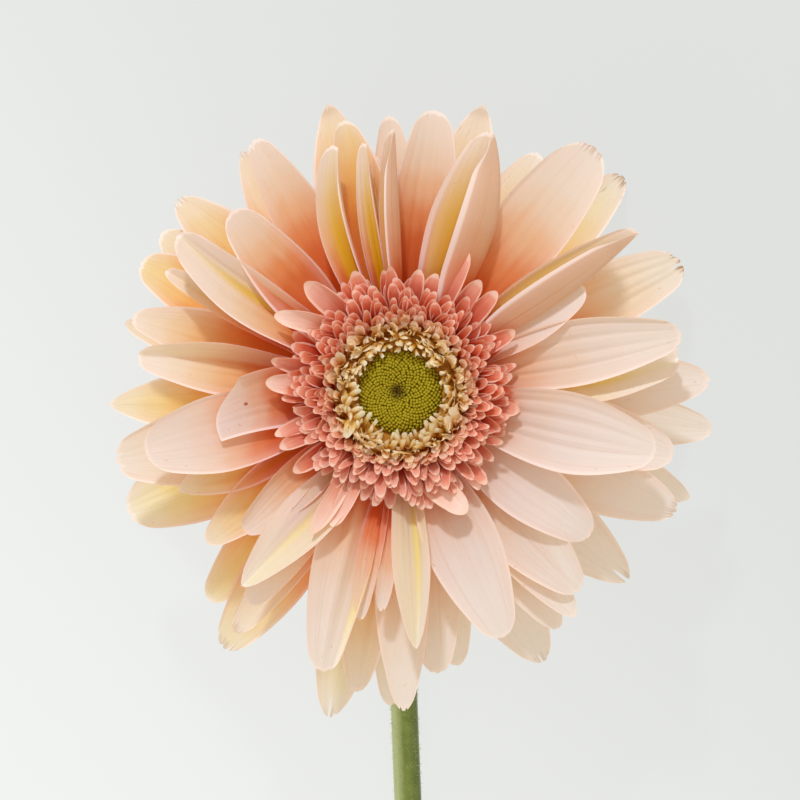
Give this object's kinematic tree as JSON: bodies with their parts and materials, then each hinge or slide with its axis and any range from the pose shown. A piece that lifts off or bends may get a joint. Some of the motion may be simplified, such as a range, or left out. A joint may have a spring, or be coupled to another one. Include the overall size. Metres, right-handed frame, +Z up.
{
  "type": "cut gerbera",
  "caption": "Cut gerbera lying on its bare stem, with salmon and cream ray petals in loose layers, a crest of short salmon florets and a green disc.",
  "frame": {"origin": "middle of the box that holds the flower, on the surface that it lies on", "axes": "+Y along the stem from its cut end to the head, +Z up from the surface, +X to the right seen from the cut end"},
  "size_m": [0.1191, 0.4008, 0.0462],
  "materials": {
    "stem_green": "satin",
    "calyx_green": "matte",
    "petal_peach": "satin",
    "crest_salmon": "satin",
    "floret_cream": "satin",
    "disc_olive": "satin"
  },
  "bodies": {
    "root": {"stem": "stem_green", "calyx": "calyx_green", "ray_petals": "petal_peach", "crest_florets": "crest_salmon", "disc_florets": "floret_cream", "disc_centre": "disc_olive"}
  },
  "joints": []
}
